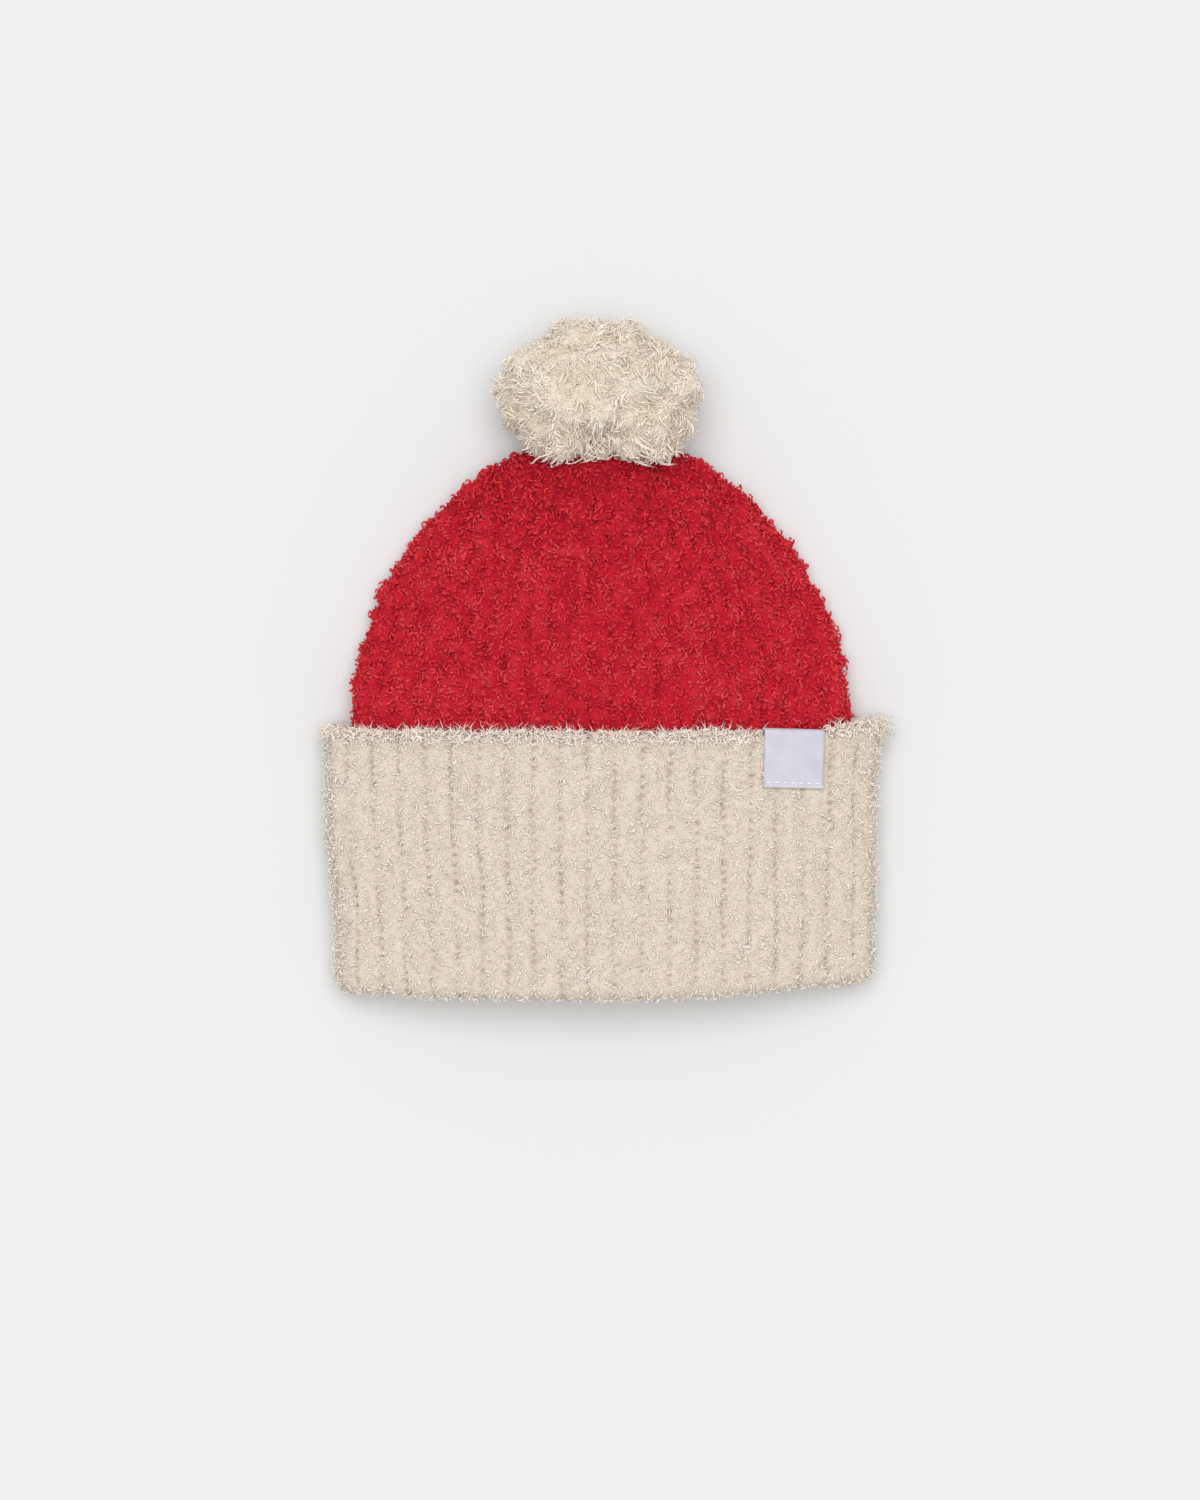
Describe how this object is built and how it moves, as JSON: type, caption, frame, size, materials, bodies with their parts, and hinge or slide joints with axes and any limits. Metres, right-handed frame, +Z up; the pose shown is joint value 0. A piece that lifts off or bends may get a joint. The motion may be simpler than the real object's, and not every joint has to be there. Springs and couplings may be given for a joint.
{
  "type": "knitted santa bobble hat",
  "caption": "Chunky rib-knit winter hat in red with a deep turned-up cream cuff, a cream pompom and a bare woven label, lying flat on its back.",
  "frame": {"origin": "middle of the bottom of the whole hat's box, on the surface that the hat lies on", "axes": "+Y from the hat's opening towards its pompom, +X to the hat's right as seen from its front, +Z up, out of its front"},
  "size_m": [0.2025, 0.245, 0.0538],
  "materials": {
    "red_knit": "fuzzy boucle rib knit, warm red, matt with a soft sheen",
    "cream_knit": "fuzzy boucle rib knit, warm cream, matt with a soft sheen",
    "cream_yarn": "cut pile of cream yarn ends",
    "tie_yarn": "plain twisted cream yarn",
    "white_tape": "fine woven satin tape, cool white, slight gloss"
  },
  "bodies": {
    "root": {"crown": "red_knit", "cuff": "cream_knit", "pompom": "cream_yarn", "pompom_tie": "tie_yarn", "label": "white_tape"}
  },
  "joints": []
}
